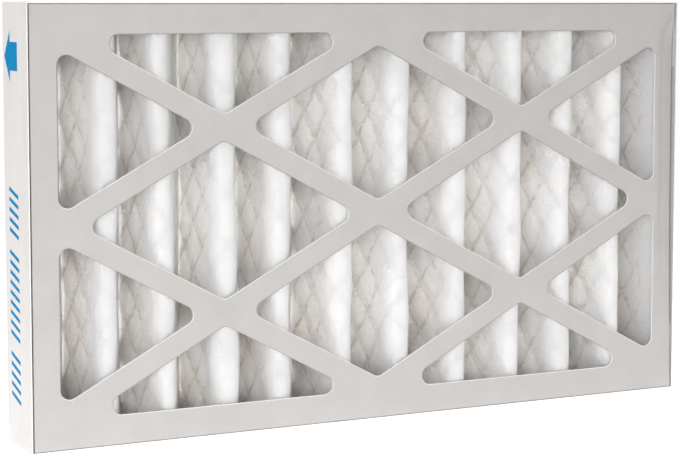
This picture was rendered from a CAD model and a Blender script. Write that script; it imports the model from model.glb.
"""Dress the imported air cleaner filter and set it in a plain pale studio.

Everything is in metres, apart from values that say millimetres. The filter stands upright on
its long edge, X runs along its width, its air inlet faces -Y and Z is up.
"""

import logging
import math
from dataclasses import dataclass, field
from enum import Enum

import bmesh
import bpy
import numpy as np
from mathutils import Euler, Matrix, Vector

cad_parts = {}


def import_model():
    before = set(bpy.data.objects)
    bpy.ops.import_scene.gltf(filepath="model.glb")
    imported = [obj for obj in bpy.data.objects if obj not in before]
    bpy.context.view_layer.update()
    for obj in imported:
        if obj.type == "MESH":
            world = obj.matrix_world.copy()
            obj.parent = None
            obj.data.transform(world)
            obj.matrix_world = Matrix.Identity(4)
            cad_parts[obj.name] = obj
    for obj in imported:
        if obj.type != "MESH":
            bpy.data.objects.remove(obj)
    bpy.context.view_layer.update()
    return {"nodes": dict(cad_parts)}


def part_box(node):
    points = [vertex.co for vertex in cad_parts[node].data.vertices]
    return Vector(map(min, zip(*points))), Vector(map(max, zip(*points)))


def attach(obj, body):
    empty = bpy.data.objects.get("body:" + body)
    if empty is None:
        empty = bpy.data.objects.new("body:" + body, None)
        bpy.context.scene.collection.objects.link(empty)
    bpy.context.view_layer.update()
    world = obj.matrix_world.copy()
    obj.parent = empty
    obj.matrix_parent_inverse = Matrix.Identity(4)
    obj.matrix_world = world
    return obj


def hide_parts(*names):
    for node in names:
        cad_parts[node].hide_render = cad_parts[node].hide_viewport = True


LOG = logging.getLogger("filter_scene")

MM = 0.001
IMAGE_WIDTH = 679
IMAGE_HEIGHT = 457
WHITE = (1, 1, 1, 1)

Tree = bpy.types.NodeTree
Socket = bpy.types.NodeSocket


# ---------------------------------------------------------------- shader helpers


def linear(colour: str) -> tuple[float, float, float, float]:
    """Turn an sRGB hex colour into the linear colour that a shader reads.

    Args:
        colour: the colour as "#RRGGBB".

    Returns:
        Red, green and blue in linear light, and an alpha of 1.
    """
    channels = []
    for place in (1, 3, 5):
        value = int(colour[place : place + 2], 16) / 255
        channels.append(value / 12.92 if value <= 0.04045 else ((value + 0.055) / 1.055) ** 2.4)
    return channels[0], channels[1], channels[2], 1.0


def per_metre(size_mm: float) -> float:
    """Turn a feature's size into a texture's scale.

    Args:
        size_mm: how far the features are apart, in millimetres.

    Returns:
        The scale, in features a metre.
    """
    return 1.0 / (size_mm * MM)


def add_node(
    tree: Tree,
    kind: str,
    options: dict[str, object] | None = None,
    inputs: dict[str | int, object] | None = None,
) -> bpy.types.Node:
    """Add one node with its options, and set or link its inputs.

    Args:
        tree: the node tree that it goes into.
        kind: the node's type name.
        options: the node's own settings.
        inputs: for each input, its value or the output that is linked to it.

    Returns:
        The new node.
    """
    node = tree.nodes.new(kind)
    for name, value in (options or {}).items():
        setattr(node, name, value)
    for name, value in (inputs or {}).items():
        if isinstance(value, bpy.types.NodeSocket):
            tree.links.new(value, node.inputs[name])
        else:
            node.inputs[name].default_value = value
    return node


def compute(tree: Tree, operation: str, *values: float | Socket, clamp: bool = False) -> Socket:
    """Add one step of arithmetic.

    Args:
        tree: the node tree that it goes into.
        operation: what is done, in the math node's own word.
        values: the numbers or outputs that go in, in the node's order.
        clamp: whether the result is held between 0 and 1.

    Returns:
        The result.
    """
    options = {"operation": operation, "use_clamp": clamp}
    return add_node(tree, "ShaderNodeMath", options, dict(enumerate(values))).outputs[0]


def remap(
    tree: Tree,
    value: Socket,
    source: tuple[float, float],
    target: tuple[float, float] = (0.0, 1.0),
    smooth: bool = False,
) -> Socket:
    """Carry a value from one span to another, held at both ends.

    Args:
        tree: the node tree that it goes into.
        value: the value.
        source: the span that it comes from.
        target: the span that it goes to.
        smooth: whether it eases in and out.

    Returns:
        The carried value.
    """
    inputs = {"Value": value, "From Min": source[0], "From Max": source[1]}
    inputs |= {"To Min": target[0], "To Max": target[1]}
    kind = "SMOOTHSTEP" if smooth else "LINEAR"
    return add_node(tree, "ShaderNodeMapRange", {"interpolation_type": kind}, inputs).outputs[0]


def blend(tree: Tree, share: Socket, first: str | Socket, second: str | Socket) -> Socket:
    """Mix two colours.

    Args:
        tree: the node tree that it goes into.
        share: 0 for the first colour alone and 1 for the second.
        first: an sRGB hex colour or an output.
        second: an sRGB hex colour or an output.

    Returns:
        The mixed colour.
    """
    colours = [linear(colour) if isinstance(colour, str) else colour for colour in (first, second)]
    inputs = {0: share, 6: colours[0], 7: colours[1]}
    return add_node(tree, "ShaderNodeMix", {"data_type": "RGBA"}, inputs).outputs[2]


def noise(
    tree: Tree,
    place: Socket,
    size_mm: float,
    detail: float,
    dimensions: str = "3D",
    roughness: float = 0.5,
    distortion: float = 0.0,
) -> bpy.types.Node:
    """Add a noise pattern.

    Args:
        tree: the node tree that it goes into.
        place: the coordinates, in metres.
        size_mm: the size of its largest features, in millimetres.
        detail: how many finer layers it has.
        dimensions: "2D" on a sheet's own coordinates, else "3D".
        roughness: how strong the finer layers are.
        distortion: how much it is warped.

    Returns:
        The pattern's node.
    """
    inputs = {"Vector": place, "Scale": per_metre(size_mm), "Detail": detail}
    inputs |= {"Roughness": roughness, "Distortion": distortion}
    return add_node(tree, "ShaderNodeTexNoise", {"noise_dimensions": dimensions}, inputs)


def vector_step(tree: Tree, operation: str, inputs: dict[str | int, object]) -> bpy.types.Node:
    """Add one step of vector arithmetic.

    Args:
        tree: the node tree that it goes into.
        operation: what is done, in the vector math node's own word.
        inputs: for each input, its value or the output that is linked to it.

    Returns:
        The step's node.
    """
    return add_node(tree, "ShaderNodeVectorMath", {"operation": operation}, inputs)


def split(tree: Tree, vector: Socket) -> bpy.types.NodeOutputs:
    """Take a vector apart.

    Args:
        tree: the node tree that it goes into.
        vector: the vector.

    Returns:
        The outputs "X", "Y" and "Z".
    """
    return add_node(tree, "ShaderNodeSeparateXYZ", inputs={0: vector}).outputs


def bump(tree: Tree, height: Socket, strength: float, depth_mm: float) -> Socket:
    """Turn a height pattern into relief.

    Args:
        tree: the node tree that it goes into.
        height: the pattern.
        strength: how much of the relief shows.
        depth_mm: the relief's depth, in millimetres.

    Returns:
        The bent normal.
    """
    inputs = {"Height": height, "Strength": strength, "Distance": depth_mm * MM}
    return add_node(tree, "ShaderNodeBump", inputs=inputs).outputs["Normal"]


def start_material(name: str) -> tuple[bpy.types.Material, Tree]:
    """Make a material with an empty node tree.

    Args:
        name: the material's name, after its real stuff.

    Returns:
        The material and its tree.
    """
    material = bpy.data.materials.new(name)
    material.use_nodes = True
    material.node_tree.nodes.clear()
    return material, material.node_tree


def close_material(tree: Tree, inputs: dict[str, object]) -> None:
    """End a material with its principled shader and its output.

    Args:
        tree: the material's tree.
        inputs: the shader's inputs.
    """
    shader = add_node(tree, "ShaderNodeBsdfPrincipled", inputs=inputs)
    add_node(tree, "ShaderNodeOutputMaterial", inputs={"Surface": shader.outputs[0]})


# ---------------------------------------------------------------- mesh helpers


def dress(piece: bpy.types.Object, material: bpy.types.Material) -> None:
    """Give a piece one material all over.

    Args:
        piece: the mesh object.
        material: its finish.
    """
    if not piece.material_slots:
        piece.data.materials.append(material)
    for slot in piece.material_slots:
        slot.material = material


def deselect() -> None:
    """Leave object mode's selection empty, so that an operator acts on its own piece alone."""
    if bpy.context.mode != "OBJECT":
        bpy.ops.object.mode_set(mode="OBJECT")
    bpy.ops.object.select_all(action="DESELECT")


def pick_alone(piece: bpy.types.Object) -> None:
    """Select one piece and make it the active one.

    Args:
        piece: the object that the next operators act on.
    """
    deselect()
    piece.select_set(True)
    bpy.context.view_layer.objects.active = piece


def settle_place(piece: bpy.types.Object) -> None:
    """Move a piece's place, turn and scale into its mesh.

    Args:
        piece: the object that ends at the origin.
    """
    pick_alone(piece)
    bpy.ops.object.transform_apply(location=True, rotation=True, scale=True)


def add_flat_grid(name: str, columns: int, rows: int) -> bpy.types.Object:
    """Add a flat square of size 1 that is divided evenly.

    Args:
        name: the new piece's name.
        columns: the divisions along X.
        rows: the divisions along Y.

    Returns:
        The square, in object mode.
    """
    deselect()
    bpy.ops.mesh.primitive_grid_add(
        x_subdivisions=columns, y_subdivisions=rows, size=1.0, location=(0, 0, 0)
    )
    grid = bpy.context.active_object
    grid.name = name
    grid.data.name = name
    return grid


def face_outwards() -> None:
    """Turn the faces of the piece in edit mode outwards and go back to object mode."""
    bpy.ops.mesh.select_all(action="SELECT")
    bpy.ops.mesh.normals_make_consistent(inside=False)
    bpy.ops.object.mode_set(mode="OBJECT")


def thicken_sheet(piece: bpy.types.Object, thickness_mm: float, smooth_degrees: float) -> None:
    """Give a folded sheet its thickness, half on each side, and smooth its bends.

    Args:
        piece: the folded sheet.
        thickness_mm: its thickness in millimetres.
        smooth_degrees: the sharpest bend that still looks round.
    """
    pick_alone(piece)
    modifier = piece.modifiers.new("Thickness", "SOLIDIFY")
    modifier.thickness = thickness_mm * MM
    modifier.offset = 0.0
    modifier.use_even_offset = True
    bpy.ops.object.modifier_apply(modifier=modifier.name)
    bpy.ops.object.mode_set(mode="EDIT")
    face_outwards()
    bpy.ops.object.shade_smooth_by_angle(angle=math.radians(smooth_degrees))


def read_places(mesh: bpy.types.Mesh) -> np.ndarray:
    """Read the places of a mesh's vertices.

    Args:
        mesh: the mesh.

    Returns:
        One row of X, Y and Z for each vertex.
    """
    places = np.empty(len(mesh.vertices) * 3)
    mesh.vertices.foreach_get("co", places)
    return places.reshape(-1, 3)


def write_places(mesh: bpy.types.Mesh, places: np.ndarray) -> None:
    """Move a mesh's vertices.

    Args:
        mesh: the mesh.
        places: one row of X, Y and Z for each vertex.
    """
    mesh.vertices.foreach_set("co", places.ravel())
    mesh.update()


def smooth_step(share: np.ndarray) -> np.ndarray:
    """Ease shares from 0 to 1, level at both ends and held outside them.

    Args:
        share: the even shares.

    Returns:
        The eased shares.
    """
    held = np.clip(share, 0, 1)
    return held * held * (3 - 2 * held)


# ---------------------------------------------------------------- finishes


@dataclass(frozen=True)
class CoatedBoard:
    """Clay-coated duplex board, calendered, die-cut and folded.

    It looks flat and pale grey with a very soft sheen, slightly cloudy from its pulp. Its cut
    edges show the whiter, rougher core, and the edges that face down or right are dim.
    """

    name: str
    face_y: float
    cut_edge_y: float
    half_width: float
    half_height: float
    middle_z: float = 123.0 * MM
    coat: str = "#CECBC9"
    cloud: str = "#C8C5C3"
    core: str = "#FFFFFD"
    crushed: str = "#8F8C89"
    board: float = 0.7 * MM
    rolled: float = 0.9 * MM
    cloud_mm: float = 22.0
    pulp_mm: float = 1.1
    light_from: tuple[float, float, float] = (-0.5, 0.0, 0.87)

    def material(self) -> bpy.types.Material:
        """Return the board's material, with the core's place worked out from the tray's sizes."""
        material, tree = start_material(self.name)
        place = add_node(tree, "ShaderNodeTexCoord").outputs["Object"]
        clouds = noise(tree, place, self.cloud_mm, 3.0, roughness=0.55).outputs["Fac"]
        pulp = noise(tree, place, self.pulp_mm, 4.0, roughness=0.6).outputs["Fac"]
        mixed = compute(tree, "MULTIPLY_ADD", pulp, 0.35, clouds)
        coat = blend(tree, remap(tree, mixed, (0.48, 0.88)), self.coat, self.cloud)
        core, dim = self.edge_masks(tree, place)
        edged = blend(tree, core, coat, self.core)
        close_material(
            tree,
            {
                "Base Color": blend(tree, dim, edged, self.crushed),
                "Roughness": remap(tree, pulp, (0.3, 0.7), (0.5, 0.62)),
                "Normal": bump(tree, mixed, 0.25, 0.05),
                "IOR": 1.5,
                "Specular IOR Level": 0.35,
            },
        )
        return material

    def edge_masks(self, tree: Tree, place: Socket) -> tuple[Socket, Socket]:
        """Find the die-cut edges: the windows' edges and the walls' raw edges.

        The die rolled the windows' edges over by a hair. Where they face up or left they show
        the white core, where they face down or right they are dim.

        Args:
            tree: the material's tree.
            place: the Object coordinates.

        Returns:
            An output that is 1 where the core shows, and one that is 1 on a dim edge.
        """
        normal = add_node(tree, "ShaderNodeNewGeometry").outputs["Normal"]
        across = compute(tree, "ABSOLUTE", split(tree, normal)["Y"])
        axes = split(tree, place)
        sideways = compute(tree, "ABSOLUTE", axes["X"])
        upright = compute(tree, "ABSOLUTE", compute(tree, "SUBTRACT", axes["Z"], self.middle_z))
        inside = compute(tree, "COMPARE", axes["Y"], self.face_y, 1.1 * self.board)
        for reach, half in ((sideways, self.half_width), (upright, self.half_height)):
            within = compute(tree, "LESS_THAN", reach, half - 3 * self.board)
            inside = compute(tree, "MULTIPLY", inside, within)
        edge_on = compute(tree, "LESS_THAN", across, 0.5)
        lit, dim = self.rolled_masks(tree)
        window = compute(tree, "MULTIPLY", inside, compute(tree, "MAXIMUM", edge_on, lit))
        at_rim = compute(tree, "COMPARE", axes["Y"], self.cut_edge_y, 0.1 * MM)
        raw = compute(tree, "MULTIPLY", at_rim, compute(tree, "GREATER_THAN", across, 0.5))
        return compute(tree, "MAXIMUM", window, raw), compute(tree, "MULTIPLY", inside, dim)

    def rolled_masks(self, tree: Tree) -> tuple[Socket, Socket]:
        """Find the hairlines beside every edge, by the way a rounded edge would face.

        Args:
            tree: the material's tree.

        Returns:
            An output that is 1 beside edges facing up or left, and one for down or right.
        """
        rounded = add_node(tree, "ShaderNodeBevel", {"samples": 6}, {"Radius": self.rolled})
        inputs = {0: rounded.outputs["Normal"], 1: self.light_from}
        towards = vector_step(tree, "DOT_PRODUCT", inputs).outputs["Value"]
        return remap(tree, towards, (0.03, 0.22)), remap(tree, towards, (-0.06, -0.4))


@dataclass(frozen=True)
class FilterFelt:
    """Cotton and polyester wadding, carded, air-laid and bonded to expanded metal.

    It looks white, soft and fuzzy and lets light through. In the valleys the fibres are matted
    to warm wisps, and the metal's strands show through as faint wavy diamonds.
    """

    name: str = "wadding_air_laid"
    bright: str = "#F5F3F2"
    thin: str = "#FBF5EE"
    scorched: str = "#DACDC3"
    shown_metal: str = "#A39B8D"
    diamond_across: float = 19.5 * MM
    diamond_tall: float = 30.0 * MM
    strand: float = 2.2 * MM
    strand_share: float = 0.42
    brown_share: float = 0.4
    stray: float = 2.6 * MM
    stray_mm: float = 13.0
    brown_mm: float = 45.0
    tuft_mm: float = 7.0
    fibre_mm: float = 1.0
    web_mm: float = 3.6
    web_bend: float = 3.0 * MM

    def material(self) -> bpy.types.Material:
        """Return the wadding's material, which reads the sheet's unfolded coordinates."""
        material, tree = start_material(self.name)
        unfolded = add_node(tree, "ShaderNodeAttribute", {"attribute_name": "unfolded"})
        flat = unfolded.outputs["Vector"]
        tufts = noise(tree, flat, self.tuft_mm, 5.0, "2D", distortion=1.2).outputs["Fac"]
        fibres = noise(tree, flat, self.fibre_mm, 6.0, "2D", 0.7, 2.5).outputs["Fac"]
        deep = self.deep_mask(tree, flat, tufts)
        metal, cushion = self.metal_masks(tree, flat)
        shown = deep
        uneven = remap(tree, tufts, (0.35, 0.6), (0.25, 1.0))
        for share in (metal, uneven, self.strand_share):
            shown = compute(tree, "MULTIPLY", shown, share)
        web = self.fibre_web(tree, flat, fibres)
        wisps = compute(tree, "MULTIPLY_ADD", fibres, 0.7, web, clamp=True)
        cover = compute(tree, "MULTIPLY", wisps, deep)
        cloth = blend(tree, cover, self.bright, self.thin)
        browned = blend(tree, self.browned_mask(tree, flat, deep), cloth, self.scorched)
        puffed = compute(tree, "MULTIPLY", cushion, deep)
        raised = compute(tree, "MULTIPLY_ADD", puffed, 1.6, cover)
        height = compute(tree, "MULTIPLY_ADD", tufts, 1.6, raised)
        close_material(
            tree,
            {
                "Base Color": blend(tree, shown, browned, self.shown_metal),
                "Roughness": 0.95,
                "Normal": bump(tree, height, 0.85, 0.5),
                "IOR": 1.4,
                "Specular IOR Level": 0.15,
                "Subsurface Weight": 1.0,
                "Subsurface Radius": (7.0 * MM, 6.9 * MM, 6.7 * MM),
                "Subsurface Scale": 1.0,
                "Sheen Weight": 0.15,
                "Sheen Roughness": 0.6,
            },
        )
        return material

    def deep_mask(self, tree: Tree, flat: Socket, tufts: Socket) -> Socket:
        """Tell the valleys' matted wadding from the smooth crests, with a ragged border.

        Args:
            tree: the material's tree.
            flat: the unfolded coordinates, the third of them the depth share.
            tufts: the tufts' pattern.

        Returns:
            An output that is 0 near a front crest and 1 in a valley.
        """
        ragged = compute(tree, "MULTIPLY_ADD", tufts, 0.6, split(tree, flat)["Z"])
        return remap(tree, ragged, (0.42, 0.95), smooth=True)

    def fibre_web(self, tree: Tree, flat: Socket, fibres: Socket) -> Socket:
        """Draw the crumpled web of matted fibres.

        Args:
            tree: the material's tree.
            flat: the unfolded coordinates.
            fibres: the fibres' fine pattern.

        Returns:
            An output that is high along thin curved lines and 0 between them.
        """
        bent = vector_step(tree, "SCALE", {0: fibres, "Scale": self.web_bend})
        moved = vector_step(tree, "ADD", {0: flat, 1: bent.outputs[0]})
        cells = add_node(
            tree,
            "ShaderNodeTexVoronoi",
            {"voronoi_dimensions": "2D", "feature": "DISTANCE_TO_EDGE"},
            {"Vector": moved.outputs[0], "Scale": per_metre(self.web_mm)},
        )
        return remap(tree, cells.outputs["Distance"], (0.0, 0.22), (0.55, 0.0), smooth=True)

    def browned_mask(self, tree: Tree, flat: Socket, deep: Socket) -> Socket:
        """Find the patches that the hot glue's warmth and handling left a little brown.

        Args:
            tree: the material's tree.
            flat: the unfolded coordinates.
            deep: the valleys' mask.

        Returns:
            An output that is up to brown_share in large soft patches of the valleys.
        """
        patches = noise(tree, flat, self.brown_mm, 3.0, "2D").outputs["Fac"]
        soft = remap(tree, patches, (0.45, 0.75), (0.0, self.brown_share), smooth=True)
        return compute(tree, "MULTIPLY", soft, deep)

    def metal_masks(self, tree: Tree, flat: Socket) -> tuple[Socket, Socket]:
        """Draw the diamonds of the metal behind the sheet, wavy as the wadding hides them.

        Args:
            tree: the material's tree.
            flat: the unfolded coordinates, in metres.

        Returns:
            An output that is 1 over a strand and falls softly to 0 beside it, and one that
            rises from 0 over a strand to 1 in the middle of a diamond.
        """
        sway = noise(tree, flat, self.stray_mm, 3.0, "2D").outputs["Color"]
        from_middle = vector_step(tree, "SUBTRACT", {0: sway, 1: (0.5, 0.5, 0.5)})
        inputs = {0: from_middle.outputs[0], "Scale": 2 * self.stray}
        strayed = vector_step(tree, "SCALE", inputs)
        shaken = vector_step(tree, "ADD", {0: flat, 1: strayed.outputs[0]})
        axes = split(tree, shaken.outputs[0])
        across = compute(tree, "DIVIDE", axes["X"], self.diamond_across)
        along = compute(tree, "DIVIDE", axes["Y"], self.diamond_tall)
        turns = []
        for operation in ("ADD", "SUBTRACT"):
            slant = compute(tree, operation, across, along)
            turns.append(compute(tree, "PINGPONG", slant, 0.5))
        nearest = compute(tree, "MINIMUM", *turns)
        half = self.strand / math.hypot(self.diamond_across, self.diamond_tall) * 2.0
        strand = remap(tree, nearest, (0.0, half), (1.0, 0.0), smooth=True)
        return strand, remap(tree, nearest, (0.0, 4 * half), smooth=True)


@dataclass(frozen=True)
class GalvanisedSteel:
    """Galvanised mild steel, slit and expanded.

    It looks light grey and softly metallic, with faint zinc spangle and a scratched grain.
    """

    name: str = "galvanised_steel_expanded"
    zinc: str = "#C3C5C7"
    dull: str = "#9DA0A3"
    spangle_mm: float = 5.0
    scratch_mm: float = 0.8

    def material(self) -> bpy.types.Material:
        """Return the steel's material."""
        material, tree = start_material(self.name)
        place = add_node(tree, "ShaderNodeTexCoord").outputs["Object"]
        inputs = {"Vector": place, "Scale": per_metre(self.spangle_mm), "Randomness": 1.0}
        spangle = add_node(tree, "ShaderNodeTexVoronoi", inputs=inputs)
        grain = noise(tree, place, self.scratch_mm, 3.0).outputs["Fac"]
        level = add_node(tree, "ShaderNodeSeparateColor", inputs={0: spangle.outputs["Color"]})
        close_material(
            tree,
            {
                "Base Color": blend(tree, level.outputs[0], self.zinc, self.dull),
                "Metallic": 1.0,
                "Roughness": remap(tree, grain, (0.3, 0.7), (0.32, 0.5)),
                "Normal": bump(tree, grain, 0.3, 0.05),
            },
        )
        return material


@dataclass(frozen=True)
class HotMelt:
    """Hot-melt adhesive, poured as a bead and pressed while soft.

    It looks milky cream with a waxy gloss and small ripples.
    """

    name: str = "hot_melt_adhesive_pressed"
    milky: str = "#ECE6D6"
    waxy: str = "#DDD4BE"
    ripple_mm: float = 4.0

    def material(self) -> bpy.types.Material:
        """Return the adhesive's material."""
        material, tree = start_material(self.name)
        place = add_node(tree, "ShaderNodeTexCoord").outputs["Object"]
        ripple = noise(tree, place, self.ripple_mm, 2.0, distortion=0.8).outputs["Fac"]
        close_material(
            tree,
            {
                "Base Color": blend(tree, ripple, self.milky, self.waxy),
                "Roughness": remap(tree, ripple, (0.3, 0.7), (0.25, 0.4)),
                "Normal": bump(tree, ripple, 0.5, 0.3),
                "IOR": 1.48,
            },
        )
        return material


@dataclass(frozen=True)
class PrintInk:
    """Water-based ink, printed from a rubber plate on board.

    It looks flat and even with a slightly mottled lay-down where the board took less ink.
    """

    name: str = "ink_plate_printed"
    full: str = "#0076A8"
    thin: str = "#0684B4"
    mottle_mm: float = 0.9

    def material(self) -> bpy.types.Material:
        """Return the ink's material."""
        material, tree = start_material(self.name)
        place = add_node(tree, "ShaderNodeTexCoord").outputs["Object"]
        mottle = noise(tree, place, self.mottle_mm, 4.0).outputs["Fac"]
        close_material(
            tree,
            {
                "Base Color": blend(tree, remap(tree, mottle, (0.45, 0.75)), self.full, self.thin),
                "Roughness": 0.6,
                "Normal": bump(tree, mottle, 0.15, 0.02),
                "IOR": 1.3,
                "Specular IOR Level": 0.1,
            },
        )
        return material


# ---------------------------------------------------------------- the pleated pack


class CrestSide(Enum):
    """Which face of the filter a crest of the zigzag points at."""

    FRONT = 1
    REAR = -1


@dataclass
class PleatLine:
    """The zigzag that the middle of the pleated sheet follows, seen from above, in millimetres.

    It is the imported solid's own line: crests are arcs of the middle radius, and an end flap
    turns back along each short wall.
    """

    front_crests: tuple[float, ...] = (
        -199.25, -162.75, -129.25, -89.75, -56.75, -18.75,
        18.25, 55.75, 93.75, 129.75, 166.25, 201.25,
    )
    front_y: float = -18.0
    rear_y: float = 17.5
    radius: float = 2.2
    flap_x: float = 208.35
    flap_bend_y: float = -2.0
    flap_end_y: float = 14.0
    bend_steps: int = 8
    points: np.ndarray = field(init=False)
    normals: np.ndarray = field(init=False)
    lengths: np.ndarray = field(init=False)
    crest_lengths: list[float] = field(init=False)
    bend_spans: list[tuple[float, float]] = field(init=False)

    def __post_init__(self) -> None:
        """Lay the line down point by point, with its normals and its running length."""
        centres = self.centres()
        angles = self.angles(centres)
        points = [(-self.flap_x, self.flap_end_y)]
        turns = [-math.pi / 2]
        marks = []
        self.add_corner(points, turns, (-self.flap_x, self.flap_bend_y), -math.pi / 2, angles[0])
        for place, (x, y, side) in enumerate(centres):
            first = len(points)
            for step in range(self.bend_steps + 1):
                turn = angles[place] + (angles[place + 1] - angles[place]) * step / self.bend_steps
                reach = -side.value * self.radius
                points.append((x - math.sin(turn) * reach, y + math.cos(turn) * reach))
                turns.append(turn)
            marks.append((first, len(points) - 1))
        self.add_corner(points, turns, (self.flap_x, self.flap_bend_y), angles[-1], math.pi / 2)
        points.append((self.flap_x, self.flap_end_y))
        turns.append(math.pi / 2)
        self.points = np.array(points)
        self.normals = np.array([(-math.sin(turn), math.cos(turn)) for turn in turns])
        steps = np.hypot(*np.diff(self.points, axis=0).T)
        self.lengths = np.concatenate(([0.0], np.cumsum(steps)))
        self.bend_spans = [(self.lengths[start], self.lengths[end]) for start, end in marks]
        self.crest_lengths = [(start + end) / 2 for start, end in self.bend_spans]

    def centres(self) -> list[tuple[float, float, CrestSide]]:
        """Return the centre and side of each crest's arc, from left to right."""
        found = []
        for place, x in enumerate(self.front_crests):
            if place:
                found.append(((self.front_crests[place - 1] + x) / 2, self.rear_y, CrestSide.REAR))
            found.append((x, self.front_y, CrestSide.FRONT))
        return found

    def angles(self, centres: list[tuple[float, float, CrestSide]]) -> list[float]:
        """Work out the direction of each straight run.

        Args:
            centres: the crests' arcs.

        Returns:
            The direction before the first crest, between crests, and after the last one.
        """
        found = [self.end_angle(centres[0], -1)]
        for (x, y, side), (next_x, next_y, _) in zip(centres, centres[1:]):
            span = math.hypot(next_x - x, next_y - y)
            lean = math.asin(2 * self.radius / span)
            found.append(math.atan2(next_y - y, next_x - x) + side.value * lean)
        found.append(self.end_angle(centres[-1], 1))
        return found

    def end_angle(self, crest: tuple[float, float, CrestSide], side: int) -> float:
        """Return the direction of the short run beside a short wall.

        Args:
            crest: the arc nearest that wall.
            side: -1 at the left wall and 1 at the right one.

        Returns:
            The direction in radians.
        """
        run_x = (crest[0] - side * self.flap_x) * -side
        run_y = (crest[1] - self.flap_bend_y) * -side
        lean = math.asin(self.radius / math.hypot(run_x, run_y))
        return math.atan2(run_y, run_x) + side * lean

    def add_corner(
        self,
        points: list[tuple[float, float]],
        turns: list[float],
        corner: tuple[float, float],
        before: float,
        after: float,
    ) -> None:
        """Round the bend between an end flap and its run.

        Args:
            points: the line so far, which is added to.
            turns: the line's directions so far, which are added to.
            corner: where the two straight runs would meet.
            before: the direction of the first run.
            after: the direction of the second run.
        """
        cut = self.radius * math.tan(abs(after - before) / 2)
        start = Vector(corner) - Vector((math.cos(before), math.sin(before))) * cut
        hand = 1 if after > before else -1
        centre = start + Vector((-math.sin(before), math.cos(before))) * self.radius * hand
        for step in range(self.bend_steps + 1):
            turn = before + (after - before) * step / self.bend_steps
            arm = Vector((math.sin(turn), -math.cos(turn))) * self.radius * hand
            points.append(tuple(centre + arm))
            turns.append(turn)

    @property
    def developed(self) -> float:
        """Return the length of the sheet before it was pleated, in millimetres."""
        return float(self.lengths[-1])

    def depth_share(self, run: np.ndarray) -> np.ndarray:
        """Return how deep places on the sheet lie, from 0 at a front crest to 1 at a rear one.

        Args:
            run: distances along the unfolded sheet, in millimetres.

        Returns:
            The shares of the pleats' depth.
        """
        level = np.interp(run, self.lengths, self.points[:, 1])
        return (level - self.front_y) / (self.rear_y - self.front_y)

    def at(self, run: np.ndarray) -> tuple[np.ndarray, np.ndarray]:
        """Find places on the line.

        Args:
            run: distances along the unfolded sheet, in millimetres.

        Returns:
            The places and their unit normals, towards the downstream side.
        """
        found = []
        for table in (self.points, self.normals):
            columns = [np.interp(run, self.lengths, table[:, axis]) for axis in (0, 1)]
            found.append(np.stack(columns, axis=-1))
        place, normal = found
        return place, normal / np.linalg.norm(normal, axis=-1, keepdims=True)


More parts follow.
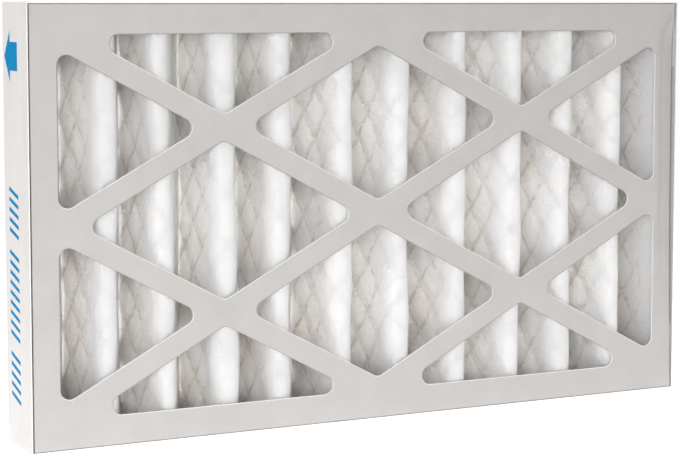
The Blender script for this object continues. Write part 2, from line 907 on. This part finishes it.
@dataclass
class PleatShape:
    """How the real pack departs from even pleats: crests that lean, sway and sit back.

    It folds flat pieces round the pleat line, the media and its metal alike, so that they stay
    in touch. Sizes are in millimetres. A wave of fullness or billow has its share of the whole,
    then what turns it: the height and the crest's number, or the length and the height.
    """

    line: PleatLine
    low_z: float
    high_z: float
    lean: dict[int, float] = field(default_factory=lambda: {4: 2.6, 6: 1.2, 16: -0.6})
    sway: float = 0.55
    set_back: float = 0.5
    billow: float = 0.8
    fullness: float = 3.2
    full_at: float = 6.5
    far_share: float = 0.6
    drifts: tuple[float, ...] = (
        0.0, -3.4, -4.0, -5.3, -4.2, -2.4, -1.6, -0.1, 0.9, 1.0, 1.0, 0.0
    )
    fullness_shares: tuple[float, ...] = (
        0.3, 0.9, 0.85, 1.2, 1.05, 1.1, 0.95, 1.1, 1.05, 1.0, 1.0, 0.3
    )
    sway_turns: tuple[float, float] = (2.2, 5.1)
    fine_sway_share: float = 0.6
    back_turns: float = 3.3
    fullness_waves: tuple[tuple[float, float, float], ...] = ((0.22, 9.0, 2.1), (0.13, 23.0, 1.3))
    billow_waves: tuple[tuple[float, float, float], ...] = (
        (1.0, 23.0, 7.5), (0.7, 14.0, -13.0), (0.5, 37.0, 24.0)
    )
    edge_hold: float = 12.0
    end_clear: float = 18.0
    end_ease: float = 15.0
    seed: int = 7

    def __post_init__(self) -> None:
        """Draw the fixed random phases of every wave."""
        count = len(self.line.crest_lengths)
        source = np.random.RandomState(self.seed)
        self.phases = source.uniform(0, 2 * math.pi, (count, 4))
        self.shares = source.uniform(0.35, 1.0, (count, 4))
        self.billow_phases = source.uniform(0, 2 * math.pi, 6)

    def crest_shift(self, place: int, level: np.ndarray) -> tuple[np.ndarray, np.ndarray]:
        """Return how far one crest stands from its even place.

        Args:
            place: the crest's number from the left, front and rear ones counted.
            level: heights above the sheet's lower edge, as a share of its height.

        Returns:
            The shifts along X and along Y, in millimetres.
        """
        phase = self.phases[place]
        share = self.shares[place]
        slow, fast = self.sway_turns
        wave = share[0] * np.sin(slow * math.pi * level + phase[0])
        wave = wave + self.fine_sway_share * share[1] * np.sin(fast * math.pi * level + phase[1])
        held = np.sin(math.pi * np.clip(level, 0, 1)) ** 0.5
        lean = self.lean.get(place, 0.0) * (1 - 2 * level)
        if place % 2 == 0:
            lean = lean + self.drifts[place // 2]
        turn = np.sin(self.back_turns * math.pi * level + phase[2])
        back = share[2] * (0.5 + 0.5 * turn) * held
        inward = 1 if place % 2 == 0 else -1
        return lean + self.sway * wave * held, inward * self.set_back * back

    def crest_fullness(self, run: np.ndarray, level: np.ndarray) -> np.ndarray:
        """Return how far the springy wadding spreads beside a front crest, which rounds it.

        Args:
            run: distances along the unfolded sheet, in millimetres.
            level: heights as a share of the sheet's height.

        Returns:
            The shifts along X, in millimetres.
        """
        spread = np.zeros_like(run)
        for place, crest in enumerate(self.line.crest_lengths[::2]):
            share = self.fullness_shares[place]
            wave = 1
            for part, climb, step in self.fullness_waves:
                wave = wave + part * np.sin(climb * level + step * place)
            away = (run - crest) / self.full_at
            side = np.where(away > 0, self.far_share, 1.0)
            spread += share * wave * side * away * np.exp(1 - np.abs(away))
        return self.fullness * spread

    def shift(self, run: np.ndarray, level: np.ndarray) -> np.ndarray:
        """Return how far the sheet stands from its even place, between crests too.

        Args:
            run: distances along the unfolded sheet, in millimetres.
            level: heights as a share of the sheet's height.

        Returns:
            The shifts along X and Y, in millimetres.
        """
        crests = np.array(self.line.crest_lengths)
        shifts = [self.crest_shift(place, level) for place in range(len(crests))]
        table_x = np.stack([shift[0] for shift in shifts])
        table_y = np.stack([shift[1] for shift in shifts])
        after = np.clip(np.searchsorted(crests, run), 1, len(crests) - 1)
        share = np.clip((run - crests[after - 1]) / (crests[after] - crests[after - 1]), 0, 1)
        columns = np.arange(len(run))
        result = []
        for table in (table_x, table_y):
            result.append(table[after - 1, columns] * (1 - share) + table[after, columns] * share)
        result[0] = result[0] + self.crest_fullness(run, level)
        from_end = np.minimum(run, self.line.developed - run)
        end_hold = np.clip((from_end - self.end_clear) / self.end_ease, 0, 1)
        return np.stack(result, axis=-1) * end_hold[:, None]

    def billowing(self, run: np.ndarray, level: np.ndarray) -> np.ndarray:
        """Return how far a flank swells between its crests, in millimetres.

        Args:
            run: distances along the unfolded sheet, in millimetres.
            level: heights as a share of the sheet's height.

        Returns:
            The swelling along the normal.
        """
        crests = np.array([0.0] + self.line.crest_lengths + [self.line.developed])
        after = np.clip(np.searchsorted(crests, run), 1, len(crests) - 1)
        share = (run - crests[after - 1]) / (crests[after] - crests[after - 1])
        window = np.sin(math.pi * np.clip(share, 0, 1)) ** 2
        wave = 0
        for (part, length, climb), phase in zip(self.billow_waves, self.billow_phases):
            wave = wave + part * np.sin(run / length + climb * level + phase)
        whole = sum(part for part, _, _ in self.billow_waves)
        held = np.clip(np.minimum(level, 1 - level) * self.edge_hold, 0, 1)
        return self.billow * wave / whole * window * held

    def fold(self, run: np.ndarray, height: np.ndarray, off: np.ndarray) -> np.ndarray:
        """Carry points of a flat sheet to their places in the pack.

        Args:
            run: distances along the unfolded sheet, in millimetres.
            height: heights Z, in metres.
            off: distances from the sheet's middle towards the downstream side, in millimetres.

        Returns:
            The points in metres.
        """
        level = (height - self.low_z) / (self.high_z - self.low_z)
        place, normal = self.line.at(run)
        away = off + self.billowing(run, level)
        flat = place + self.shift(run, level) + normal * away[:, None]
        return np.column_stack([flat[:, 0] * MM, flat[:, 1] * MM, height])


@dataclass
class PleatedMedia:
    """One continuous sheet of wadding, pleated, with the metal's diamonds pressed into it."""

    shape: PleatShape
    finish: FilterFelt
    thickness: float = 2.2
    cell: float = 2.7
    bend_cells: int = 8
    rows: int = 92
    quilt: float = 0.45
    quilt_at_crest: float = 0.3
    smooth_degrees: float = 60.0

    def columns(self) -> np.ndarray:
        """Return where the sheet is divided along its length: closely at bends, evenly between."""
        line = self.shape.line
        marks = [0.0]
        for start, end in [*line.bend_spans, (line.developed, line.developed)]:
            steps = max(4, round((start - marks[-1]) / self.cell))
            marks.extend(np.linspace(marks[-1], start, steps + 1)[1:])
            if end > start:
                marks.extend(np.linspace(start, end, self.bend_cells + 1)[1:])
        return np.array(marks)

    def quilting(self, run: np.ndarray, height: np.ndarray) -> np.ndarray:
        """Return how far the wadding stands off its metal, in millimetres.

        Args:
            run: distances along the unfolded sheet, in millimetres.
            height: heights Z, in metres.

        Returns:
            The stand-off towards the upstream side, least over a strand.
        """
        across = (run - self.shape.line.developed / 2) * MM / self.finish.diamond_across
        along = height / self.finish.diamond_tall
        nearest = np.ones_like(run)
        for slant in (across + along, across - along):
            away = np.abs(slant - np.round(slant)) * 2
            nearest = np.minimum(nearest, away)
        return self.quilt * np.sqrt(np.clip(nearest, 0, 1))

    def build(self) -> bpy.types.Object:
        """Lay the sheet flat, fold it into pleats and give it its thickness.

        Returns:
            The sheet.
        """
        marks = self.columns()
        height_m = self.shape.high_z - self.shape.low_z
        sheet = add_flat_grid("pleated_wadding", len(marks) - 1, self.rows)
        mesh = sheet.data
        flat = read_places(mesh)
        column = np.rint((flat[:, 0] + 0.5) * (len(marks) - 1)).astype(int)
        run = marks[column]
        height = self.shape.low_z + (flat[:, 1] + 0.5) * height_m
        depth = self.shape.line.depth_share(run)
        unfolded = np.column_stack([(run - self.shape.line.developed / 2) * MM, height, depth])
        attribute = mesh.attributes.new("unfolded", "FLOAT_VECTOR", "POINT")
        attribute.data.foreach_set("vector", unfolded.ravel())
        pressed = self.quilt_at_crest + (1 - self.quilt_at_crest) * depth
        write_places(mesh, self.shape.fold(run, height, -self.quilting(run, height) * pressed))
        thicken_sheet(sheet, self.thickness, self.smooth_degrees)
        dress(sheet, self.finish.material())
        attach(sheet, "root")
        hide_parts("pleated_media")
        return sheet


@dataclass
class ExpandedMetal:
    """The expanded metal that carries the wadding, pleated with it on the downstream side."""

    shape: PleatShape
    finish: GalvanisedSteel
    diamond_across: float = 19.5
    diamond_tall: float = 30.0
    strand: float = 1.3
    thickness: float = 0.4
    stand_off: float = 1.4
    end_clear: float = 3.0
    bend_cells: int = 4
    smooth_degrees: float = 30.0

    def build(self) -> bpy.types.Object:
        """Cut the diamonds in a flat strip, crease it at every bend and fold it.

        Returns:
            The metal.
        """
        length = self.shape.line.developed - 2 * self.end_clear
        low = self.shape.low_z / MM
        high = self.shape.high_z / MM
        wide = int(length / self.diamond_across) + 2
        tall = int((high - low) / self.diamond_tall) + 2
        metal = add_flat_grid("expanded_metal", wide, tall)
        bpy.ops.object.mode_set(mode="EDIT")
        bpy.ops.mesh.select_all(action="SELECT")
        bpy.ops.transform.resize(
            value=(wide * self.diamond_across * MM, tall * self.diamond_tall * MM, 1.0)
        )
        bpy.ops.mesh.select_all(action="SELECT")
        bpy.ops.mesh.poke()
        self.keep_diamonds(metal)
        bpy.ops.mesh.select_all(action="SELECT")
        bpy.ops.mesh.inset(thickness=self.strand / 2 * MM, use_individual=True, use_boundary=True)
        bpy.ops.mesh.delete(type="FACE")
        bpy.ops.mesh.select_all(action="SELECT")
        bpy.ops.transform.translate(value=(0, (low + high) / 2 * MM, 0))
        self.trim(length, low, high)
        self.crease()
        bpy.ops.mesh.select_all(action="SELECT")
        bpy.ops.mesh.remove_doubles(threshold=0.00001)
        bpy.ops.object.mode_set(mode="OBJECT")
        self.fold(metal)
        thicken_sheet(metal, self.thickness, self.smooth_degrees)
        dress(metal, self.finish.material())
        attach(metal, "root")
        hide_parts("support_grid")
        return metal

    def keep_diamonds(self, metal: bpy.types.Object) -> None:
        """Dissolve the grid's own lines, so that only the slanted ones stay as diamonds.

        Args:
            metal: the poked strip, in edit mode.
        """
        shape = bmesh.from_edit_mesh(metal.data)
        straight = []
        for edge in shape.edges:
            run = edge.verts[1].co - edge.verts[0].co
            level = abs(run.x) < 1e-6 or abs(run.y) < 1e-6
            if level and not edge.is_boundary:
                straight.append(edge)
        bmesh.ops.dissolve_edges(shape, edges=straight, use_verts=False)
        bmesh.update_edit_mesh(metal.data)

    def trim(self, length: float, low: float, high: float) -> None:
        """Cut the strip to its length and height.

        Args:
            length: the strip's length in millimetres.
            low: its lower edge Z in millimetres.
            high: its upper edge Z in millimetres.
        """
        cuts = (
            ((-length / 2 * MM, 0, 0), (-1, 0, 0)),
            ((length / 2 * MM, 0, 0), (1, 0, 0)),
            ((0, low * MM, 0), (0, -1, 0)),
            ((0, high * MM, 0), (0, 1, 0)),
        )
        for place, outward in cuts:
            bpy.ops.mesh.select_all(action="SELECT")
            bpy.ops.mesh.bisect(plane_co=place, plane_no=outward, clear_outer=True)

    def crease(self) -> None:
        """Divide the strip across every bend, so that its strands turn round the crest."""
        line = self.shape.line
        for start, end in line.bend_spans:
            for step in range(self.bend_cells + 1):
                run = start + (end - start) * step / self.bend_cells - line.developed / 2
                bpy.ops.mesh.select_all(action="SELECT")
                bpy.ops.mesh.bisect(plane_co=(run * MM, 0, 0), plane_no=(1, 0, 0))

    def fold(self, metal: bpy.types.Object) -> None:
        """Carry the flat strip round the pleats.

        Args:
            metal: the strip, flat and in object mode.
        """
        flat = read_places(metal.data)
        run = flat[:, 0] / MM + self.shape.line.developed / 2
        off = np.full(len(run), self.stand_off)
        write_places(metal.data, self.shape.fold(run, flat[:, 1], off))


# ---------------------------------------------------------------- board, glue and print


@dataclass
class SprungTray:
    """The front tray, whose right border has sprung back between its corners.

    Sizes are in millimetres. The bend fades over a share of the height at the upper and the
    lower corner, and weakens over the lower half.
    """

    finish: CoatedBoard
    bend_x: float = 197.5
    edge_x: float = 210.45
    low_z: float = 0.9
    high_z: float = 245.1
    face_limit_y: float = -18.0
    set_back: float = 3.1
    upper_fade: float = 0.12
    lower_fade: float = 0.1
    lower_loss: float = 0.7
    wall_clear: float = 0.8
    corner_clear: float = 8.0
    columns: int = 8
    rows: int = 22

    def build(self, node: bpy.types.Object) -> bpy.types.Object:
        """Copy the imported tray, divide its right border closely and bend it back.

        Args:
            node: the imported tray.

        Returns:
            The bent tray.
        """
        tray = node.copy()
        tray.data = node.data.copy()
        tray.name = "sprung_front_tray"
        tray.data.name = tray.name
        bpy.context.scene.collection.objects.link(tray)
        pick_alone(tray)
        bpy.ops.object.mode_set(mode="EDIT")
        bpy.ops.mesh.select_all(action="SELECT")
        bpy.ops.mesh.remove_doubles(threshold=0.000001)
        for x in np.linspace(self.bend_x, self.edge_x - self.wall_clear, self.columns):
            self.divide(tray, (x * MM, 0, 0), (1, 0, 0))
        low, high = self.low_z + self.corner_clear, self.high_z - self.corner_clear
        for z in np.linspace(low, high, self.rows):
            self.divide(tray, (0, 0, z * MM), (0, 0, 1))
        bpy.ops.object.mode_set(mode="OBJECT")
        self.bend(tray)
        bpy.ops.object.shade_smooth_by_angle(angle=math.radians(25))
        dress(tray, self.finish.material())
        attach(tray, "root")
        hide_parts("front_tray")
        return tray

    def divide(
        self,
        tray: bpy.types.Object,
        place: tuple[float, float, float],
        across: tuple[int, int, int],
    ) -> None:
        """Cut the right border's faces along one plane, and leave the rest of the tray whole.

        Args:
            tray: the tray, in edit mode.
            place: a point of the plane.
            across: the plane's normal.
        """
        bpy.ops.mesh.select_all(action="DESELECT")
        bpy.ops.mesh.select_mode(type="FACE")
        shape = bmesh.from_edit_mesh(tray.data)
        for face in shape.faces:
            face.select_set(max(vertex.co.x for vertex in face.verts) > (self.bend_x + 0.01) * MM)
        bmesh.update_edit_mesh(tray.data)
        bpy.ops.mesh.bisect(plane_co=place, plane_no=across)

    def bend(self, tray: bpy.types.Object) -> None:
        """Push the border back, most above the middle and not at all at the corners.

        Args:
            tray: the divided tray, in object mode.
        """
        places = read_places(tray.data)
        across = np.clip((places[:, 0] / MM - self.bend_x) / (self.edge_x - self.bend_x), 0, 1)
        down = np.clip((self.high_z - places[:, 2] / MM) / (self.high_z - self.low_z), 0, 1)
        held = smooth_step(down / self.upper_fade) * smooth_step((1 - down) / self.lower_fade)
        held = held * (1 - self.lower_loss * smooth_step((down - 0.45) / 0.5))
        near_face = places[:, 1] < self.face_limit_y * MM
        places[:, 1] += self.set_back * MM * across**1.25 * held * near_face
        write_places(tray.data, places)


@dataclass
class BoardTrays:
    """The two lattice trays with their board finish; the front one has a sprung border."""

    half_width: float = 212.0 * MM
    half_height: float = 123.0 * MM
    half_depth: float = 22.5 * MM
    front_rim_y: float = 15.5 * MM
    front_inset_x: float = 1.55 * MM
    front_inset_z: float = 0.9 * MM

    def dress_nodes(self, nodes: dict[str, bpy.types.Object]) -> None:
        """Give both trays their finish, and the front one its bend.

        Args:
            nodes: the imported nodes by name.
        """
        rear = CoatedBoard(
            name="duplex_board_rear",
            face_y=self.half_depth,
            cut_edge_y=-self.half_depth,
            half_width=self.half_width,
            half_height=self.half_height,
        )
        front = CoatedBoard(
            name="duplex_board_front",
            face_y=-self.half_depth,
            cut_edge_y=self.front_rim_y,
            half_width=self.half_width - self.front_inset_x,
            half_height=self.half_height - self.front_inset_z,
        )
        dress(nodes["rear_tray"], rear.material())
        SprungTray(front).build(nodes["front_tray"])


@dataclass
class GlueBeds:
    """The adhesive round the pack and between the lapped walls."""

    finish: HotMelt
    names: tuple[str, ...] = (
        "seal_top",
        "seal_bottom",
        "seal_left",
        "seal_right",
        "lap_glue_top",
        "lap_glue_bottom",
        "lap_glue_left",
        "lap_glue_right",
    )

    def dress_nodes(self, nodes: dict[str, bpy.types.Object]) -> None:
        """Give every bed its finish.

        Args:
            nodes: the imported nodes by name.
        """
        material = self.finish.material()
        for name in self.names:
            dress(nodes[name], material)


@dataclass
class WallPrint:
    """The blue print on the left wall: an arrow along the airflow and a row of plain bars.

    Sizes are in millimetres. A group of bars has the height of its top one and their number.
    """

    finish: PrintInk
    wall_x: float = -212.0
    film: float = 0.03
    arrow_tip_y: float = 19.3
    arrow_base_y: float = 8.7
    arrow_end_y: float = -4.7
    arrow_z: float = 216.3
    head_half: float = 14.4
    shaft_half: float = 7.9
    bar_front_y: float = -3.5
    bar_rear_y: float = 13.5
    bar_slant: float = 4.0
    bar_width: float = 2.3
    bar_pitch: float = 5.6
    bar_groups: tuple[tuple[float, int], ...] = ((139.0, 5), (104.0, 9), (47.0, 5))

    def film_from(
        self, name: str, width: float, depth: float, place: tuple[float, float]
    ) -> bpy.types.Object:
        """Start one film of ink as an upright plane on the wall.

        Args:
            name: the piece's name.
            width: its size along Y, in millimetres.
            depth: its size along Z, in millimetres.
            place: its middle, Y and Z in millimetres.

        Returns:
            The plane, in object mode.
        """
        deselect()
        bpy.ops.mesh.primitive_plane_add(
            size=1.0,
            location=(self.wall_x * MM, place[0] * MM, place[1] * MM),
            rotation=(0, -math.pi / 2, 0),
        )
        film = bpy.context.active_object
        film.scale = (depth * MM, width * MM, 1.0)
        film.name = name
        film.data.name = name
        settle_place(film)
        return film

    def thicken(self, film: bpy.types.Object) -> None:
        """Give a film its thickness, outwards from the wall, and its finish.

        Args:
            film: the flat film.
        """
        pick_alone(film)
        bpy.ops.object.mode_set(mode="EDIT")
        bpy.ops.mesh.select_all(action="SELECT")
        bpy.ops.mesh.extrude_region_move(TRANSFORM_OT_translate={"value": (-self.film * MM, 0, 0)})
        face_outwards()
        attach(film, "root")

    def build(self) -> list[bpy.types.Object]:
        """Print the arrow and the bars.

        Returns:
            The films of ink.
        """
        arrow = self.build_arrow()
        bars = self.build_bars()
        material = self.finish.material()
        for film in (arrow, bars):
            self.thicken(film)
            dress(film, material)
        return [arrow, bars]

    def build_arrow(self) -> bpy.types.Object:
        """Shape the arrow from its shaft: its rear edge is drawn out to barbs and a tip.

        Returns:
            The flat arrow.
        """
        length = self.arrow_base_y - self.arrow_end_y
        middle = (self.arrow_base_y + self.arrow_end_y) / 2
        arrow = self.film_from("airflow_arrow", length, 2 * self.shaft_half, (middle, self.arrow_z))
        pick_alone(arrow)
        bpy.ops.object.mode_set(mode="EDIT")
        self.pick_edges(arrow, self.arrow_base_y * MM)
        grow = self.head_half / self.shaft_half
        centre = (self.wall_x * MM, self.arrow_base_y * MM, self.arrow_z * MM)
        bpy.ops.mesh.extrude_region_move()
        bpy.ops.transform.resize(value=(1, 1, grow), center_override=centre)
        reach = (self.arrow_tip_y - self.arrow_base_y) * MM
        bpy.ops.mesh.extrude_region_move(TRANSFORM_OT_translate={"value": (0, reach, 0)})
        bpy.ops.mesh.merge(type="CENTER")
        bpy.ops.object.mode_set(mode="OBJECT")
        return arrow

    def pick_edges(self, film: bpy.types.Object, y: float) -> None:
        """Select a film's edge at one Y.

        Args:
            film: the film, in edit mode.
            y: the edge's place in metres.
        """
        bpy.ops.mesh.select_all(action="DESELECT")
        bpy.ops.mesh.select_mode(type="EDGE")
        shape = bmesh.from_edit_mesh(film.data)
        for edge in shape.edges:
            edge.select_set(all(abs(vertex.co.y - y) < 1e-6 for vertex in edge.verts))
        bmesh.update_edit_mesh(film.data)

    def build_bars(self) -> bpy.types.Object:
        """Print one slanted bar and copy it along the wall in three groups.

        Returns:
            All bars as one flat piece.
        """
        length = self.bar_rear_y - self.bar_front_y
        middle = (self.bar_rear_y + self.bar_front_y) / 2
        bar = self.film_from("print_bars", length, self.bar_width, (middle, 0.0))
        pick_alone(bar)
        bpy.ops.object.mode_set(mode="EDIT")
        self.pick_edges(bar, self.bar_rear_y * MM)
        bpy.ops.transform.translate(value=(0, 0, self.bar_slant * MM))
        bpy.ops.object.mode_set(mode="OBJECT")
        copies = []
        for top, count in self.bar_groups:
            for place in range(count):
                twin = bar.copy()
                twin.data = bar.data.copy()
                bpy.context.scene.collection.objects.link(twin)
                twin.location = (0, 0, (top - place * self.bar_pitch) * MM)
                copies.append(twin)
        bpy.data.objects.remove(bar)
        deselect()
        for twin in copies:
            twin.select_set(True)
        bpy.context.view_layer.objects.active = copies[0]
        bpy.ops.object.join()
        joined = bpy.context.active_object
        joined.name = "print_bars"
        settle_place(joined)
        return joined


# ---------------------------------------------------------------- studio


@dataclass(frozen=True)
class Lamp:
    """A soft rectangular lamp: where it hangs, what it points at, its size and its power."""

    name: str
    place: tuple[float, float, float]
    aim: tuple[float, float, float]
    size: tuple[float, float]
    watts: float


@dataclass
class Studio:
    """A plain pale room: camera as in the photograph, soft lamps, a white floor."""

    camera_place: tuple[float, float, float] = (-0.51787, -1.02317, 0.24549)
    camera_yaw: float = 26.20
    camera_pitch: float = 4.843
    focal_px: float = 1928.4
    centre_y_px: float = 166.24
    floor_half: float = 6.0
    lamps: tuple[Lamp, ...] = (
        Lamp("lamp_wall", (-1.6, 0.35, 0.3), (-0.2, 0.0, 0.1), (0.8, 0.6), 11.6),
        Lamp("lamp_front", (-0.7, -1.35, 0.36), (0.0, 0.0, 0.12), (1.0, 0.6), 10.7),
        Lamp("lamp_back", (0.75, 1.25, 0.4), (0.0, 0.02, 0.12), (1.1, 0.8), 22.0),
    )
    room_strength: float = 0.3
    overhead_levels: tuple[float, float] = (1.0, 0.45)
    sideways_levels: tuple[float, float] = (1.15, 0.75)
    floor_lift: float = 0.45
    table_glow: float = 0.8
    glow_span: tuple[float, float] = (0.3, 0.9)
    white_span: tuple[float, float] = (0.35, 1.1)
    paper: str = "#F5F5F5"
    paper_grain: str = "#F2F2F2"
    grain_mm: float = 3.0

    def build(self) -> None:
        """Set the camera, the lamps, the floor and the world."""
        self.place_camera()
        self.place_lamps()
        self.lay_floor()
        self.light_world()
        bpy.context.scene.view_settings.view_transform = "Standard"

    def place_camera(self) -> None:
        """Stand the camera where the photograph was taken from."""
        data = bpy.data.cameras.new("camera")
        data.sensor_width = 36.0
        data.lens = self.focal_px / IMAGE_WIDTH * data.sensor_width
        data.shift_y = (self.centre_y_px - IMAGE_HEIGHT / 2) / IMAGE_WIDTH
        data.clip_start = 0.05
        data.clip_end = 50.0
        camera = bpy.data.objects.new("camera", data)
        camera.location = self.camera_place
        camera.rotation_euler = Euler(
            (math.radians(90 - self.camera_pitch), 0, math.radians(-self.camera_yaw))
        )
        bpy.context.scene.collection.objects.link(camera)
        bpy.context.scene.camera = camera

    def place_lamp(self, lamp: Lamp) -> None:
        """Hang one soft lamp and point it at its aim.

        Args:
            lamp: what it is and where it hangs.
        """
        data = bpy.data.lights.new(lamp.name, "AREA")
        data.shape = "RECTANGLE"
        data.size, data.size_y = lamp.size
        data.energy = lamp.watts
        item = bpy.data.objects.new(lamp.name, data)
        item.location = lamp.place
        aim = Vector(lamp.aim) - Vector(lamp.place)
        item.rotation_euler = aim.to_track_quat("-Z", "Y").to_euler()
        bpy.context.scene.collection.objects.link(item)

    def place_lamps(self) -> None:
        """Hang every lamp of the studio."""
        for lamp in self.lamps:
            self.place_lamp(lamp)

    def lay_floor(self) -> None:
        """Lay a pale floor that keeps the shadow and turns plain white away from the filter."""
        deselect()
        bpy.ops.mesh.primitive_plane_add(size=2 * self.floor_half, location=(0, 0, 0))
        floor = bpy.context.active_object
        floor.name = "studio_floor"
        bpy.ops.object.mode_set(mode="EDIT")
        bpy.ops.mesh.subdivide(number_cuts=8)
        bpy.ops.object.mode_set(mode="OBJECT")
        dress(floor, self.floor_material())

    def floor_material(self) -> bpy.types.Material:
        """Return matt white paper that glows near the filter and fades into the white room."""
        material, tree = start_material("studio_paper")
        place = add_node(tree, "ShaderNodeTexCoord").outputs["Object"]
        away = vector_step(tree, "LENGTH", {0: place}).outputs["Value"]
        far = remap(tree, away, self.white_span, smooth=True)
        grain = noise(tree, place, self.grain_mm, 2.0).outputs["Fac"]
        colour = blend(tree, grain, self.paper, self.paper_grain)
        matt = add_node(tree, "ShaderNodeBsdfDiffuse", inputs={"Color": colour, "Roughness": 0.0})
        white = add_node(tree, "ShaderNodeEmission", inputs={"Color": WHITE, "Strength": 1.0})
        path = add_node(tree, "ShaderNodeLightPath").outputs
        seen = compute(tree, "MAXIMUM", path["Is Camera Ray"], path["Is Glossy Ray"])
        near = remap(tree, away, self.glow_span, (self.table_glow, 0.0), smooth=True)
        lift = compute(tree, "MULTIPLY_ADD", seen, self.floor_lift, near)
        glow = add_node(tree, "ShaderNodeEmission", inputs={"Color": WHITE, "Strength": lift})
        inputs = {0: matt.outputs[0], 1: glow.outputs[0]}
        lifted = add_node(tree, "ShaderNodeAddShader", inputs=inputs)
        inputs = {0: compute(tree, "MULTIPLY", seen, far), 1: lifted.outputs[0]}
        mixed = add_node(tree, "ShaderNodeMixShader", inputs=inputs | {2: white.outputs[0]})
        add_node(tree, "ShaderNodeOutputMaterial", inputs={"Surface": mixed.outputs[0]})
        return material

    def light_world(self) -> None:
        """Fill the room with soft light; the camera, gloss and glass see it plain white."""
        world = bpy.data.worlds.new("white_room")
        bpy.context.scene.world = world
        world.use_nodes = True
        tree = world.node_tree
        tree.nodes.clear()
        axes = split(tree, add_node(tree, "ShaderNodeTexCoord").outputs["Generated"])
        overhead = remap(tree, axes["Z"], (0.0, 1.0), self.overhead_levels)
        sideways = remap(tree, axes["X"], (-1.0, 1.0), self.sideways_levels)
        level = compute(tree, "MULTIPLY", overhead, sideways)
        strength = compute(tree, "MULTIPLY", level, self.room_strength)
        soft = add_node(tree, "ShaderNodeBackground", inputs={"Color": WHITE, "Strength": strength})
        white = add_node(tree, "ShaderNodeBackground", inputs={"Color": WHITE, "Strength": 1.0})
        path = add_node(tree, "ShaderNodeLightPath").outputs
        seen = path["Is Camera Ray"]
        for ray in ("Is Glossy Ray", "Is Transmission Ray"):
            seen = compute(tree, "MAXIMUM", seen, path[ray])
        inputs = {0: seen, 1: soft.outputs[0], 2: white.outputs[0]}
        mixed = add_node(tree, "ShaderNodeMixShader", inputs=inputs)
        add_node(tree, "ShaderNodeOutputWorld", inputs={"Surface": mixed.outputs[0]})


def main() -> None:
    """Build and dress the filter, then set the studio round it."""
    logging.basicConfig(level=logging.INFO, format="%(message)s")
    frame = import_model()
    nodes = frame["nodes"]
    low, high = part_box("pleated_media")
    line = PleatLine()
    LOG.info("pleat line: %.1f mm developed", line.developed)
    shape = PleatShape(line, low[2], high[2])
    felt = FilterFelt()
    media = PleatedMedia(shape, felt).build()
    LOG.info("%s: %d faces", media.name, len(media.data.polygons))
    metal = ExpandedMetal(shape, GalvanisedSteel()).build()
    LOG.info("%s: %d faces", metal.name, len(metal.data.polygons))
    BoardTrays().dress_nodes(nodes)
    GlueBeds(HotMelt()).dress_nodes(nodes)
    for film in WallPrint(PrintInk()).build():
        LOG.info("%s: %d faces", film.name, len(film.data.polygons))
    Studio().build()


if __name__ == "__main__":
    main()
